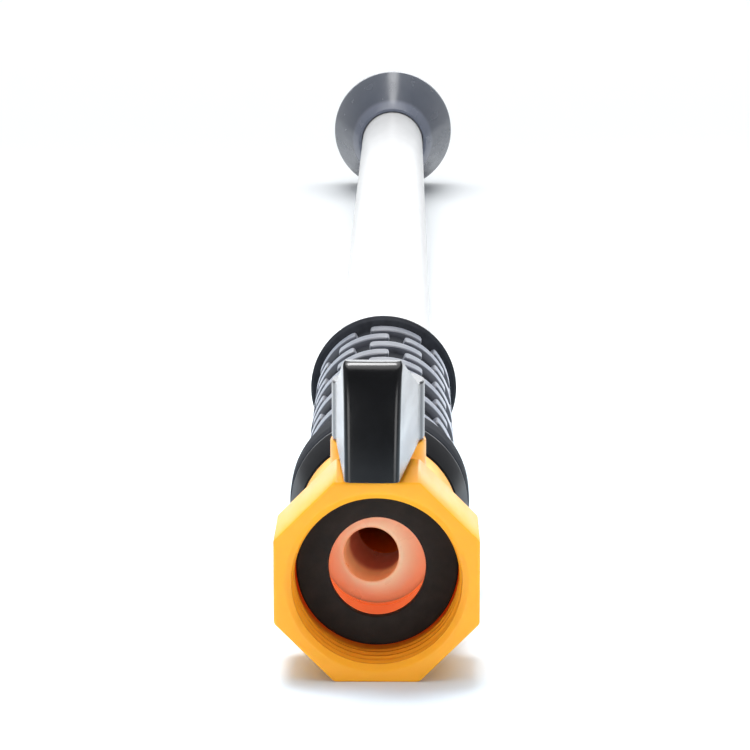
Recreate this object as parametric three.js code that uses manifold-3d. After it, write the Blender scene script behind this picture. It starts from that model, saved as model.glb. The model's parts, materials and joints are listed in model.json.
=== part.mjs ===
// Hose wand with a quarter-turn ball valve: swivel hose nut, thumb lever, ribbed grip, tube and rose head.
// Millimetres, +Z up. The wand lies along +Y on the head's rim, with the hose nut at its -Y end.
// Every "At" value is a distance along the wand from the nut's front face.
// Every "Height" value is a height above the wand's axis.
import * as THREE from 'three';
import { mergeVertices } from 'three/addons/utils/BufferGeometryUtils.js';
import Module from 'manifold-3d';

const wasm = await Module();
wasm.setup();

// ---- driving dimensions ----
const overallLength = 600;
const clearance = 0.3;
const overshoot = 1;

const nutAcrossFlats = 32;
const nutCornerRadius = 17.15;
const nutLength = 16.6;
const nutMouthRadius = 14.3;
const nutMouthChamfer = 0.8;
const threadRootRadius = 13.5;
const threadCrestRadius = 12.6;
const threadPitch = 2.2;
const threadFirstCrestAt = 2.8;
const threadTurns = 3;
const threadFootShare = 0.4;
const threadCrestShare = 0.1;
const nutRearWall = 2.1;

const washerRadius = 12.9;
const washerHoleRadius = 7.75;
const washerThickness = 1.6;
const washerBevel = 0.3;
const tailFlangeRadius = 12.4;
const tailFlangeThickness = 3;
const tailNeckRadius = 10.4;
const tailBoreRadius = 8.7;

const ballRadius = 10.2;
const ballBoreRadius = 4.4;
const ballAt = 26;
const seatLength = 3;
const seatReach = 4.6;
const seatSteps = 2;
const seatRelief = 0.02;
const bodyRadius = 13.27;
const bodyEdge = 0.6;
const bodyRearAt = 41.4;
const outletRadius = 5.6;
const outletFunnelRadius = 7.6;
const funnelLength = 3;
const spigotRadius = 8.4;
const spigotLength = 16.6;
const bossRadius = 7.75;
const bossHeight = 17.2;

const stemRadius = 4.2;
const stemFootHeight = 10.9;
const stemSquare = 5;
const stemTopHeight = 23.2;
const tangLength = 7.6;
const tangThickness = 2.6;
const tangFootHeight = 7.8;
const ballSlotWidth = 4.2;

const leverHubRadius = 7.5;
const leverUndersideHeight = 17.5;
const leverHubHeight = 26.9;
const leverTipHeight = 35.7;
const leverTipReach = 33;
const leverTipHalfWidth = 4.1;
const leverRootHalfWidth = 7.05;
const leverTipLean = 3.3;
const leverTopRound = 2.2;
const leverFaceHollow = 1;
const leverRampStart = -3;
const leverRestAngle = THREE.MathUtils.degToRad(-1.2);
const ballRestAngle = THREE.MathUtils.degToRad(-6.6);

const tubeRadius = 10;
const tubeWall = 1.2;
const tubeEndAt = 571.7;
const collarFrontRadius = 13.47;
const collarRearRadius = 15.1;
const collarEdge = 0.5;
const collarRearAt = 50.2;
const sleeveFlangeRadius = 15.4;
const sleeveFlangeEndAt = 60;
const sleeveEdge = 0.8;
const sleeveRootRadius = 12.2;
const sleeveRibRadius = 13.4;
const sleeveRibPitch = 8;
const sleeveRibLength = 5.2;
const sleeveRibRows = 11;
const sleeveLastRibEndAt = 145.2;
const sleeveFirstGroove = 1.5;
const sleeveRibBevel = 0.4;
const sleeveRearRampAt = 145.7;
const sleeveRearRadius = 14.75;
const sleeveRearFlangeAt = 147;
const sleeveRearAt = 149.6;

const neckAt = 551.5;
const neckRadius = 11.2;
const hubRadius = 12.85;
const hubAt = 556.5;
const coneAt = 558;
const coneRadius = 13.35;
const rimRadius = 20.05;
const rimAt = 585;
const ledgeAt = 586.3;
const ledgeWidth = 1.8;
const capLength = 10.5;
const capRearRadius = 19.6;
const capFrontRadius = 19.1;
const capEdge = 0.8;
const capLipRadius = 16.6;
const capLipThickness = 1.8;
const roseRadius = 17.65;
const roseThickness = 1.6;
const roseDomeSetback = 0.9;
const roseDomeRise = 0.8;
const roseHoleRadius = 0.8;
const roseRings = [6, 12, 18];
const roseFirstRingRadius = 5.6;
const roseRingSpacing = 4.2;
const diffuserThickness = 1.6;
const diffuserPostRadius = 3.4;
const diffuserHoleRadius = 1.6;
const diffuserHoleCircle = 10;
const diffuserHoles = 8;
const gasketThickness = 1.2;
const screwShankRadius = 1.5;
const screwHeadRadius = 3.2;
const screwHeadSetback = 0.5;
const screwHeadEdge = 0.6;
const screwSlotWidth = 0.7;
const screwSlotDepth = 0.5;

const ringSection = 0.6;
const grooveWidth = 1.8;
const sealStandOff = 0.1;
const spigotSealAt = [47, 53];
const headSealAt = [561, 566];
const stemSealHeight = [12.9, 15.3];

const roundSides = 32;
const smallSides = 20;
const holeSides = 6;

// ---- places worked out from the driving dimensions ----
const nutRearInsideAt = nutLength - nutRearWall;
const tailFlangeAt = nutRearInsideAt - clearance - tailFlangeThickness;
const washerAt = tailFlangeAt - clearance - washerThickness;
const bodyAt = nutLength + clearance;
const chamberRadius = tailNeckRadius + clearance;
const seatFrontAt = ballAt - seatReach - seatLength;
const seatRearAt = ballAt + seatReach;
const chamberEndAt = seatRearAt + seatLength + clearance;
const tubeAt = bodyRearAt + clearance;
const tubeHoleRadius = tubeRadius + clearance;
const tubeBoreRadius = tubeRadius - tubeWall;
const sleeveAt = collarRearAt + clearance;
const capAt = overallLength - capLength;
const roseAt = overallLength - capLipThickness - clearance - roseThickness;
const gasketAt = roseAt - clearance - gasketThickness;
const shellFrontAt = gasketAt - clearance;
const shellBoreRadius = capLipRadius;
const ledgeRadius = shellBoreRadius - ledgeWidth;
const diffuserAt = ledgeAt + clearance;
const tubeSealRadius = tubeHoleRadius + ringSection;
const spigotSealRadius = tubeBoreRadius - clearance - ringSection;
const stemSealRadius = stemRadius + sealStandOff - ringSection;
const stemHoleRadius = stemRadius + sealStandOff + clearance;
const leverTipFrontAt = ballAt - leverTipReach;
const middleAt = (leverTipFrontAt + overallLength) / 2;
const rimCornerRadius = rimRadius / Math.cos(Math.PI / roundSides);

// ---- materials ----
function plastic(color, roughness, metalness = 0) {
  return new THREE.MeshStandardMaterial({ color, roughness, metalness });
}

const yellowPlastic = plastic(0xf7ae2e, 0.42);
const orangePlastic = plastic(0xf0622c, 0.4);
const glossBlack = plastic(0x17181a, 0.16);
const satinBlack = plastic(0x1c1d20, 0.4);
const gripRubber = plastic(0x26272b, 0.55);
const sealRubber = plastic(0x1d1c1b, 0.7);
const acetal = plastic(0xe8d2c2, 0.35);
const palePlastic = plastic(0xf2efe6, 0.4);
const whiteTube = plastic(0xf6f6f4, 0.3);
const greyPlastic = plastic(0x3a3d42, 0.38);
const steel = plastic(0xb9bcc0, 0.3, 1);

// ---- solids ----
function signedVolume(positions, index) {
  const a = new THREE.Vector3();
  const b = new THREE.Vector3();
  const c = new THREE.Vector3();
  let volume = 0;
  for (let i = 0; i < index.length; i += 3) {
    a.fromArray(positions, index[i] * 3);
    b.fromArray(positions, index[i + 1] * 3);
    c.fromArray(positions, index[i + 2] * 3);
    volume += a.dot(b.cross(c)) / 6;
  }
  return volume;
}

function solidFrom(geometry) {
  geometry.deleteAttribute('normal');
  geometry.deleteAttribute('uv');
  const merged = mergeVertices(geometry, 1e-4);
  const vertProperties = new Float32Array(merged.attributes.position.array);
  const triVerts = new Uint32Array(merged.index.array);
  if (signedVolume(vertProperties, triVerts) < 0) {
    triVerts.reverse();
  }
  return new wasm.Manifold(new wasm.Mesh({ numProp: 3, vertProperties, triVerts }));
}

function geometryFrom(solid) {
  const mesh = solid.getMesh();
  const geometry = new THREE.BufferGeometry();
  geometry.setAttribute('position', new THREE.BufferAttribute(mesh.vertProperties, 3));
  geometry.setIndex(new THREE.BufferAttribute(mesh.triVerts, 1));
  geometry.computeVertexNormals();
  return geometry;
}

// A solid turned about the wand's axis. Its profile is a list of [radius, distance along the wand].
// A side, not a corner, faces straight down.
function turned(profile, sides = roundSides) {
  const points = profile.map(([radius, at]) => new THREE.Vector2(radius, at));
  points.push(points[0].clone());
  return solidFrom(new THREE.LatheGeometry(points, sides, Math.PI / sides));
}

// The same, turned about a vertical axis: its profile is a list of [radius, height].
function turnedUpright(profile, sides = smallSides) {
  const points = profile.map(([radius, height]) => new THREE.Vector2(radius, height));
  points.push(points[0].clone());
  const geometry = new THREE.LatheGeometry(points, sides);
  geometry.rotateX(Math.PI / 2);
  return solidFrom(geometry);
}

function ring(inner, outer, from, to, sides = roundSides) {
  return turned([[inner, from], [outer, from], [outer, to], [inner, to]], sides);
}

function plug(radius, from, to, sides = roundSides) {
  return turned([[0, from], [radius, from], [radius, to], [0, to]], sides);
}

function box(width, depth, height, x, y, z) {
  const geometry = new THREE.BoxGeometry(width, depth, height);
  geometry.translate(x, y, z);
  return solidFrom(geometry);
}

function ringSectionPoints(radius, at) {
  const points = [];
  for (let i = 0; i < holeSides; i += 1) {
    const angle = (2 * Math.PI * i) / holeSides;
    points.push([radius + ringSection * Math.cos(angle), at + ringSection * Math.sin(angle)]);
  }
  return points;
}

function union(solids) {
  return solids.reduce((whole, solid) => whole.add(solid));
}

// ---- hose end ----
function couplingNut() {
  const eighth = Math.PI / 8;
  const prism = plug(nutAcrossFlats / 2 / Math.cos(eighth), 0, nutLength, 8);
  const corners = plug(nutCornerRadius, -overshoot, nutLength + overshoot, 2 * roundSides);
  const bore = [[0, -overshoot], [nutMouthRadius, -overshoot], [nutMouthRadius, 0]];
  bore.push([threadRootRadius, nutMouthChamfer]);
  for (let turn = 0; turn < threadTurns; turn += 1) {
    const crestAt = threadFirstCrestAt + turn * threadPitch;
    bore.push([threadRootRadius, crestAt - threadFootShare * threadPitch]);
    bore.push([threadCrestRadius, crestAt - threadCrestShare * threadPitch]);
    bore.push([threadCrestRadius, crestAt + threadCrestShare * threadPitch]);
    bore.push([threadRootRadius, crestAt + threadFootShare * threadPitch]);
  }
  const holeRadius = tailNeckRadius + clearance;
  bore.push([threadRootRadius, nutRearInsideAt], [holeRadius, nutRearInsideAt]);
  bore.push([holeRadius, nutLength + overshoot], [0, nutLength + overshoot]);
  return prism.intersect(corners).subtract(turned(bore));
}

function hoseWasher() {
  const end = washerAt + washerThickness;
  return turned([
    [washerHoleRadius, washerAt + washerBevel],
    [washerHoleRadius + washerBevel, washerAt],
    [washerRadius - washerBevel, washerAt],
    [washerRadius, washerAt + washerBevel],
    [washerRadius, end],
    [washerHoleRadius, end],
  ]);
}

function inletTailpiece() {
  const flangeEnd = tailFlangeAt + tailFlangeThickness;
  const neckEnd = seatFrontAt - clearance;
  return turned([
    [tailBoreRadius, tailFlangeAt],
    [tailFlangeRadius, tailFlangeAt],
    [tailFlangeRadius, flangeEnd],
    [tailNeckRadius, flangeEnd],
    [tailNeckRadius, neckEnd],
    [tailBoreRadius, neckEnd],
  ]);
}

// ---- valve ----
function valveBody() {
  const spigotEnd = bodyRearAt + spigotLength;
  const barrel = turned([
    [0, bodyAt],
    [bodyRadius - bodyEdge, bodyAt],
    [bodyRadius, bodyAt + bodyEdge],
    [bodyRadius, bodyRearAt - bodyEdge],
    [bodyRadius - bodyEdge, bodyRearAt],
    [spigotRadius, bodyRearAt],
    [spigotRadius, spigotEnd],
    [0, spigotEnd],
  ]);
  const boss = turnedUpright([[0, 0], [bossRadius, 0], [bossRadius, bossHeight], [0, bossHeight]])
    .translate([0, ballAt, 0]);
  const bore = turned([
    [0, bodyAt - overshoot],
    [chamberRadius, bodyAt - overshoot],
    [chamberRadius, chamberEndAt],
    [outletFunnelRadius, chamberEndAt],
    [outletRadius, chamberEndAt + funnelLength],
    [outletRadius, spigotEnd + overshoot],
    [0, spigotEnd + overshoot],
  ]);
  const stemBoreTop = bossHeight + overshoot;
  const stemProfile = [[0, 0], [stemHoleRadius, 0], [stemHoleRadius, stemBoreTop], [0, stemBoreTop]];
  const stemBore = turnedUpright(stemProfile).translate([0, ballAt, 0]);
  const grooves = spigotSealAt.map((at) => ring(
    spigotSealRadius - ringSection - clearance,
    spigotRadius + overshoot,
    at - grooveWidth / 2,
    at + grooveWidth / 2,
  ));
  return barrel.add(boss).subtract(bore).subtract(stemBore).subtract(union(grooves));
}

function valveBall() {
  const sphere = new THREE.SphereGeometry(ballRadius, smallSides, smallSides / 2);
  const bore = plug(ballBoreRadius, -2 * ballRadius, 2 * ballRadius, smallSides);
  const slotHeight = ballRadius - tangFootHeight + clearance;
  const slot = box(2 * ballRadius + overshoot, ballSlotWidth, 2 * slotHeight, 0, 0, ballRadius);
  return solidFrom(sphere).subtract(bore).subtract(slot);
}

// A seat ring is hollowed to the ball's curve on the side that faces the ball.
function ballSeat(farAt, nearAt) {
  const outer = chamberRadius - clearance;
  const reach = ballRadius + clearance;
  const towardsBall = Math.sign(nearAt - farAt);
  const startOffset = Math.sqrt(reach ** 2 - tailBoreRadius ** 2);
  const endOffset = Math.abs(ballAt - nearAt);
  const profile = [[outer, nearAt], [outer, farAt], [tailBoreRadius, farAt]];
  for (let i = 0; i <= seatSteps; i += 1) {
    const offset = startOffset + ((endOffset - startOffset) * i) / seatSteps;
    profile.push([Math.sqrt(reach ** 2 - offset ** 2) + seatRelief, ballAt - towardsBall * offset]);
  }
  return turned(profile);
}

function valveStem() {
  const profile = [[0, stemFootHeight], [stemRadius, stemFootHeight]];
  const floor = stemSealRadius - ringSection - clearance;
  for (const height of stemSealHeight) {
    profile.push([stemRadius, height - grooveWidth / 2], [floor, height - grooveWidth / 2]);
    profile.push([floor, height + grooveWidth / 2], [stemRadius, height + grooveWidth / 2]);
  }
  profile.push([stemRadius, bossHeight], [0, bossHeight]);
  const headFootHeight = bossHeight - overshoot;
  const headHeight = stemTopHeight - headFootHeight;
  const head = box(stemSquare, stemSquare, headHeight, 0, 0, headFootHeight + headHeight / 2);
  const tangHeight = stemFootHeight - tangFootHeight + overshoot;
  const tang = box(tangLength, tangThickness, tangHeight, 0, 0, tangFootHeight + tangHeight / 2);
  return turnedUpright(profile).add(head).add(tang);
}

// The lever is a hub and a tapering blade that rises to its tip, both cut to one side profile.
function valveLever() {
  const plan = new THREE.Shape();
  plan.moveTo(-leverTipHalfWidth, -leverTipReach);
  plan.lineTo(leverTipHalfWidth, -leverTipReach);
  plan.lineTo(leverRootHalfWidth, 0);
  plan.lineTo(-leverRootHalfWidth, 0);
  const blade = new THREE.ExtrudeGeometry(plan, { depth: leverTipHeight, bevelEnabled: false });
  const hubProfile = [[0, 0], [leverHubRadius, 0], [leverHubRadius, leverTipHeight], [0, leverTipHeight]];
  const hub = turnedUpright(hubProfile);

  const side = new THREE.Shape();
  const back = leverHubRadius + overshoot;
  const tipTopAt = -leverTipReach + leverTipLean;
  const faceMiddle = (leverUndersideHeight + leverTipHeight) / 2;
  side.moveTo(back, leverUndersideHeight);
  side.lineTo(back, leverHubHeight);
  side.lineTo(leverRampStart, leverHubHeight);
  side.lineTo(tipTopAt + leverTopRound, leverTipHeight);
  side.quadraticCurveTo(tipTopAt, leverTipHeight, tipTopAt, leverTipHeight - leverTopRound);
  side.quadraticCurveTo(-leverTipReach + leverFaceHollow, faceMiddle, -leverTipReach, leverUndersideHeight);
  const sliceWidth = 4 * leverHubRadius;
  const sliceOptions = { depth: sliceWidth, bevelEnabled: false, curveSegments: 6 };
  const profile = new THREE.ExtrudeGeometry(side, sliceOptions);
  profile.translate(0, 0, -sliceWidth / 2);
  profile.applyMatrix4(new THREE.Matrix4().makeBasis(
    new THREE.Vector3(0, 1, 0),
    new THREE.Vector3(0, 0, 1),
    new THREE.Vector3(1, 0, 0),
  ));

  const socketSide = stemSquare + 2 * clearance;
  const socketTop = stemTopHeight + clearance;
  const socket = box(socketSide, socketSide, socketTop, 0, 0, socketTop / 2);
  return solidFrom(blade).add(hub).intersect(solidFrom(profile)).subtract(socket);
}

function uprightSeal(height) {
  return turnedUpright(ringSectionPoints(stemSealRadius, height));
}

// ---- grip and tube ----
function gripCollar() {
  return turned([
    [tubeHoleRadius, tubeAt],
    [collarFrontRadius - collarEdge, tubeAt],
    [collarFrontRadius, tubeAt + collarEdge],
    [collarRearRadius, collarRearAt - collarEdge],
    [collarRearRadius, collarRearAt],
    [tubeHoleRadius, collarRearAt],
  ]);
}

function gripSleeve() {
  const profile = [
    [tubeHoleRadius, sleeveAt],
    [sleeveFlangeRadius - sleeveEdge, sleeveAt],
    [sleeveFlangeRadius, sleeveAt + sleeveEdge],
    [sleeveFlangeRadius, sleeveFlangeEndAt - sleeveEdge],
    [sleeveFlangeRadius - sleeveEdge, sleeveFlangeEndAt],
    [sleeveRootRadius, sleeveFlangeEndAt],
  ];
  for (let row = sleeveRibRows - 1; row >= 0; row -= 1) {
    const end = sleeveLastRibEndAt - row * sleeveRibPitch;
    const start = Math.max(end - sleeveRibLength, sleeveFlangeEndAt + sleeveFirstGroove);
    profile.push([sleeveRootRadius, start], [sleeveRibRadius, start + sleeveRibBevel]);
    profile.push([sleeveRibRadius, end - sleeveRibBevel], [sleeveRootRadius, end]);
  }
  profile.push([sleeveRootRadius, sleeveRearRampAt], [sleeveRearRadius, sleeveRearFlangeAt]);
  profile.push([sleeveRearRadius, sleeveRearAt - sleeveEdge]);
  profile.push([sleeveRearRadius - sleeveEdge, sleeveRearAt], [tubeHoleRadius, sleeveRearAt]);
  return turned(profile, smallSides);
}

function extensionTube() {
  return ring(tubeBoreRadius, tubeRadius, tubeAt, tubeEndAt);
}

function axialSeal(radius, at) {
  return turned(ringSectionPoints(radius, at), smallSides);
}

// ---- head ----
function headShell() {
  const grooveRadius = tubeSealRadius + ringSection + clearance;
  const socketEnd = tubeEndAt + clearance;
  const profile = [
    [tubeHoleRadius, neckAt],
    [neckRadius, neckAt],
    [hubRadius, hubAt],
    [coneRadius, coneAt],
    [rimCornerRadius, rimAt],
    [rimCornerRadius, capAt - clearance],
    [roseRadius, capAt - clearance],
    [roseRadius, shellFrontAt],
    [shellBoreRadius, shellFrontAt],
    [shellBoreRadius, ledgeAt],
    [ledgeRadius, ledgeAt],
    [tubeBoreRadius, socketEnd + funnelLength],
    [tubeBoreRadius, socketEnd],
    [tubeHoleRadius, socketEnd],
  ];
  for (const at of [...headSealAt].reverse()) {
    profile.push([tubeHoleRadius, at + grooveWidth / 2], [grooveRadius, at + grooveWidth / 2]);
    profile.push([grooveRadius, at - grooveWidth / 2], [tubeHoleRadius, at - grooveWidth / 2]);
  }
  return turned(profile);
}

function holeCircle(count, circleRadius, holeRadius, from, to) {
  const holes = [];
  for (let i = 0; i < count; i += 1) {
    const angle = (2 * Math.PI * (i + 0.5)) / count;
    const hole = plug(holeRadius, from - overshoot, to + overshoot, holeSides);
    holes.push(hole.translate([circleRadius * Math.cos(angle), 0, circleRadius * Math.sin(angle)]));
  }
  return union(holes);
}

// A plate of holes behind the rose spreads the jet. Its middle post takes the rose's screw.
function diffuserPlate() {
  const end = diffuserAt + diffuserThickness;
  const postEnd = roseAt - clearance;
  const plate = plug(shellBoreRadius - clearance, diffuserAt, end);
  const post = plug(diffuserPostRadius, diffuserAt, postEnd, smallSides);
  const screwHole = plug(screwShankRadius + clearance, end + overshoot, postEnd + overshoot, smallSides);
  const holes = holeCircle(diffuserHoles, diffuserHoleCircle, diffuserHoleRadius, diffuserAt, end);
  return plate.add(post).subtract(screwHole).subtract(holes);
}

function roseGasket() {
  return ring(shellBoreRadius, roseRadius, gasketAt, gasketAt + gasketThickness);
}

function roseFace() {
  const stepRadius = capLipRadius - clearance;
  const domeEnd = overallLength - roseDomeSetback;
  const disc = turned([
    [screwShankRadius + clearance, roseAt],
    [roseRadius, roseAt],
    [roseRadius, roseAt + roseThickness],
    [stepRadius, roseAt + roseThickness],
    [stepRadius, domeEnd - roseDomeRise],
    [screwHeadRadius + clearance, domeEnd],
    [screwHeadRadius + clearance, roseAt + roseThickness],
    [screwShankRadius + clearance, roseAt + roseThickness],
  ]);
  const rings = roseRings.map((count, i) => (
    holeCircle(count, roseFirstRingRadius + i * roseRingSpacing, roseHoleRadius, roseAt, overallLength)
  ));
  return disc.subtract(union(rings));
}

// The ring that clamps the rose tapers away behind the head's rim.
function roseCap() {
  return turned([
    [roseRadius + clearance, capAt],
    [capRearRadius, capAt],
    [capFrontRadius, overallLength - capEdge],
    [capFrontRadius - capEdge, overallLength],
    [capLipRadius, overallLength],
    [capLipRadius, overallLength - capLipThickness],
    [roseRadius + clearance, overallLength - capLipThickness],
  ]);
}

function roseScrew() {
  const headAt = roseAt + roseThickness + clearance;
  const headEnd = overallLength - screwHeadSetback;
  const screw = turned([
    [0, capAt],
    [screwShankRadius, capAt],
    [screwShankRadius, headAt],
    [screwHeadRadius, headAt],
    [screwHeadRadius, headEnd - screwHeadEdge],
    [screwHeadRadius - screwHeadEdge, headEnd],
    [0, headEnd],
  ], smallSides);
  const slotLength = 1.4 * screwHeadRadius;
  const slot = box(slotLength, 2 * screwSlotDepth, screwSlotWidth, 0, headEnd, 0);
  const crossSlot = box(screwSlotWidth, 2 * screwSlotDepth, slotLength, 0, headEnd, 0);
  return screw.subtract(slot).subtract(crossSlot);
}

// ---- assembly ----
function piece(name, solid, material) {
  const mesh = new THREE.Mesh(geometryFrom(solid), material);
  mesh.name = name;
  return mesh;
}

const wand = new THREE.Group();
const axisGroup = new THREE.Group();
axisGroup.position.set(0, -middleAt, rimRadius);
wand.add(axisGroup);

axisGroup.add(
  piece('coupling_nut', couplingNut(), yellowPlastic),
  piece('hose_washer', hoseWasher(), sealRubber),
  piece('inlet_tailpiece', inletTailpiece(), orangePlastic),
  piece('valve_body', valveBody(), yellowPlastic),
  piece('ball_seat_front', ballSeat(seatFrontAt, seatFrontAt + seatLength), orangePlastic),
  piece('ball_seat_rear', ballSeat(seatRearAt + seatLength, seatRearAt), orangePlastic),
  piece('grip_collar', gripCollar(), satinBlack),
  piece('grip_sleeve', gripSleeve(), gripRubber),
  piece('extension_tube', extensionTube(), whiteTube),
  piece('head_shell', headShell(), greyPlastic),
  piece('diffuser_plate', diffuserPlate(), palePlastic),
  piece('rose_gasket', roseGasket(), sealRubber),
  piece('rose_face', roseFace(), greyPlastic),
  piece('rose_cap', roseCap(), satinBlack),
  piece('rose_screw', roseScrew(), steel),
);

for (const [i, at] of spigotSealAt.entries()) {
  axisGroup.add(piece(`spigot_o_ring_${i + 1}`, axialSeal(spigotSealRadius, at), sealRubber));
}
for (const [i, at] of headSealAt.entries()) {
  axisGroup.add(piece(`head_o_ring_${i + 1}`, axialSeal(tubeSealRadius, at), sealRubber));
}

// The lever, the stem and its seals turn together about the stem's upright axis.
const stemGroup = new THREE.Group();
stemGroup.position.y = ballAt;
stemGroup.rotation.z = leverRestAngle;
stemGroup.add(
  piece('valve_lever', valveLever(), glossBlack),
  piece('valve_stem', valveStem(), acetal),
  piece('stem_o_ring_lower', uprightSeal(stemSealHeight[0]), sealRubber),
  piece('stem_o_ring_upper', uprightSeal(stemSealHeight[1]), sealRubber),
);
axisGroup.add(stemGroup);

// The ball lags behind the stem by the play of its slot.
const ballGroup = new THREE.Group();
ballGroup.position.y = ballAt;
ballGroup.rotation.z = ballRestAngle;
ballGroup.add(piece('valve_ball', valveBall(), acetal));
axisGroup.add(ballGroup);

export default wand;
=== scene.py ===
"""The hose wand's looks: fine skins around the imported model, a studio floor, lights and a camera."""
import json
import math

import bmesh
import bpy
from mathutils import Matrix, Vector


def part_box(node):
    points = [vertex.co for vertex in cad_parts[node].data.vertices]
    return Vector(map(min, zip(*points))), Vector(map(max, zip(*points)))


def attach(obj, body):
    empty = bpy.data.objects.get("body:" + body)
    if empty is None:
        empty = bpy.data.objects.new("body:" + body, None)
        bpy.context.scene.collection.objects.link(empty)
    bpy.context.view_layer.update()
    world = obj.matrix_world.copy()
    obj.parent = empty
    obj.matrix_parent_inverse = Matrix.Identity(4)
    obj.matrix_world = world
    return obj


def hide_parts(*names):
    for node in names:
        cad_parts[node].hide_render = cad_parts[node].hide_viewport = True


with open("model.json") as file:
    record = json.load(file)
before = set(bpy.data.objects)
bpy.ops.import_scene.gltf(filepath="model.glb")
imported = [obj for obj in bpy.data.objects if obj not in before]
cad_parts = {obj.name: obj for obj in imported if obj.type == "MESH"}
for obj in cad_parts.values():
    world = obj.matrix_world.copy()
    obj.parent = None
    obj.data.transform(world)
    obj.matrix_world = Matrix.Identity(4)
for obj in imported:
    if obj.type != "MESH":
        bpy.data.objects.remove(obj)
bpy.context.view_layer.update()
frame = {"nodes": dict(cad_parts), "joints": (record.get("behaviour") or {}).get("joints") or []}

MM = 0.001
SIDES = 128
SHARP = math.radians(32)
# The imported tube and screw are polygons, and their boxes touch the flats.
CAD_SIDES = 32
CAD_SMALL_SIDES = 20


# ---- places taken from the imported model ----
def span(node):
    """Where a node starts and ends along the wand, which lies along Y."""
    low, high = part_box(node)
    return low.y, high.y


def reach(node):
    """A round node's outer radius about the wand's axis."""
    low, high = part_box(node)
    return (high.x - low.x) / 2


def from_axis(radius, angle, along):
    """A point beside the wand's axis. Angle 0 is straight up."""
    return Vector((radius * math.sin(angle), along, AXIS_Z + radius * math.cos(angle)))


def joint_place(name):
    """The point that a joint turns about."""
    joint = next(j for j in frame["joints"] if j["name"] == name)
    return Vector(joint["pos_m"])


tube_low, tube_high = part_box("extension_tube")
AXIS_Z = (tube_low.z + tube_high.z) / 2
NUT_FRONT = span("coupling_nut")[0]
STEM = joint_place("lever_turn")
LEVER_TURN = math.radians(-1.2)
BALL_TURN = math.radians(-6.6)
# Radii that the nodes' boxes don't give.
BALL_BORE = 4.4 * MM
TAIL_BORE = 8.7 * MM
BARREL = 13.27 * MM
TUBE_HOLE = 10.3 * MM
# The gap between neighbouring parts.
CLEARANCE = 0.3 * MM


# ---- mesh helpers ----
def clamp(value):
    return max(0.0, min(1.0, value))


def filleted(corners, steps=5):
    """A closed outline with rounded corners. Each corner is (radius, along, fillet), in metres."""
    nearly_straight = math.radians(177)
    most_of_side = 0.48
    outline = []
    for i, (radius, along, fillet) in enumerate(corners):
        here = Vector((radius, along))
        before = Vector(corners[i - 1][:2]) - here
        after = Vector(corners[(i + 1) % len(corners)][:2]) - here
        angle = before.angle(after)
        if fillet <= 0 or angle > nearly_straight:
            outline.append(here)
            continue
        cut = min(fillet / math.tan(angle / 2), most_of_side * before.length, most_of_side * after.length)
        start = here + before.normalized() * cut
        end = here + after.normalized() * cut
        for step in range(steps + 1):
            t = step / steps
            outline.append(start * (1 - t) ** 2 + here * (2 * t * (1 - t)) + end * t ** 2)
    return outline


def mesh_object(name, bm):
    """Makes a smooth object of a bmesh, with its faces pointing out."""
    bmesh.ops.remove_doubles(bm, verts=bm.verts, dist=0.0005 * MM)
    bmesh.ops.recalc_face_normals(bm, faces=bm.faces)
    mesh = bpy.data.meshes.new(name)
    bm.to_mesh(mesh)
    bm.free()
    obj = bpy.data.objects.new(name, mesh)
    bpy.context.scene.collection.objects.link(obj)
    shade(obj)
    return obj


def shade(obj):
    """Shades an object smooth, apart from its sharp edges."""
    for polygon in obj.data.polygons:
        polygon.use_smooth = True
    obj.data.set_sharp_from_angle(angle=SHARP)


def stack_rings(bm, rings, closed=True):
    """Joins rings of points, one after another, with quads. Closed joins the last ring to the first."""
    made = [[bm.verts.new(point) for point in ring] for ring in rings]
    pairs = list(zip(made, made[1:]))
    if closed:
        pairs.append((made[-1], made[0]))
    for ring, following in pairs:
        for i in range(len(ring)):
            j = (i + 1) % len(ring)
            bm.faces.new((ring[i], ring[j], following[j], following[i]))
    return made


def capped_stack(bm, rings):
    """Joins rings of points into a closed solid with a flat face at each end."""
    made = stack_rings(bm, rings, closed=False)
    bm.faces.new(list(reversed(made[0])))
    bm.faces.new(made[-1])


def around(radius, along, sides=SIDES):
    """A ring of points about the wand's axis."""
    return [from_axis(radius, 2 * math.pi * i / sides, along) for i in range(sides)]


def turned(name, corners, sides=SIDES):
    """A closed solid turned about the wand's axis."""
    bm = bmesh.new()
    on_axis = 0.001 * MM
    stack_rings(bm, [around(max(p.x, on_axis), p.y, sides) for p in filleted(corners)])
    return mesh_object(name, bm)


def seal_groove(seal, wall, floor):
    """The corners of a square groove round an O-ring, in order along the wand."""
    half = 0.9 * MM
    middle = sum(span(seal)) / 2
    return [
        (wall, middle - half, 0),
        (floor, middle - half, 0),
        (floor, middle + half, 0),
        (wall, middle + half, 0),
    ]


def cut_away(obj, tool):
    """Cuts the tool's shape out of obj, and removes the tool."""
    modifier = obj.modifiers.new("cut", "BOOLEAN")
    modifier.operation = "DIFFERENCE"
    modifier.solver = "EXACT"
    modifier.object = tool
    apply_modifiers(obj)
    bpy.data.objects.remove(tool)


def apply_modifiers(obj):
    bpy.context.view_layer.update()
    evaluated = obj.evaluated_get(bpy.context.evaluated_depsgraph_get())
    mesh = bpy.data.meshes.new_from_object(evaluated)
    old = obj.data
    obj.modifiers.clear()
    obj.data = mesh
    bpy.data.meshes.remove(old)
    mesh.name = obj.name


def weigh_normals(obj):
    """Lets the broad faces keep their own direction, so that only the narrow ones look rounded."""
    shade(obj)
    modifier = obj.modifiers.new("normals", "WEIGHTED_NORMAL")
    modifier.keep_sharp = True
    apply_modifiers(obj)


def rectangle(half_u, half_v):
    """The corners of a rectangle about the origin."""
    return [(-half_u, -half_v), (half_u, -half_v), (half_u, half_v), (-half_u, half_v)]


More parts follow.
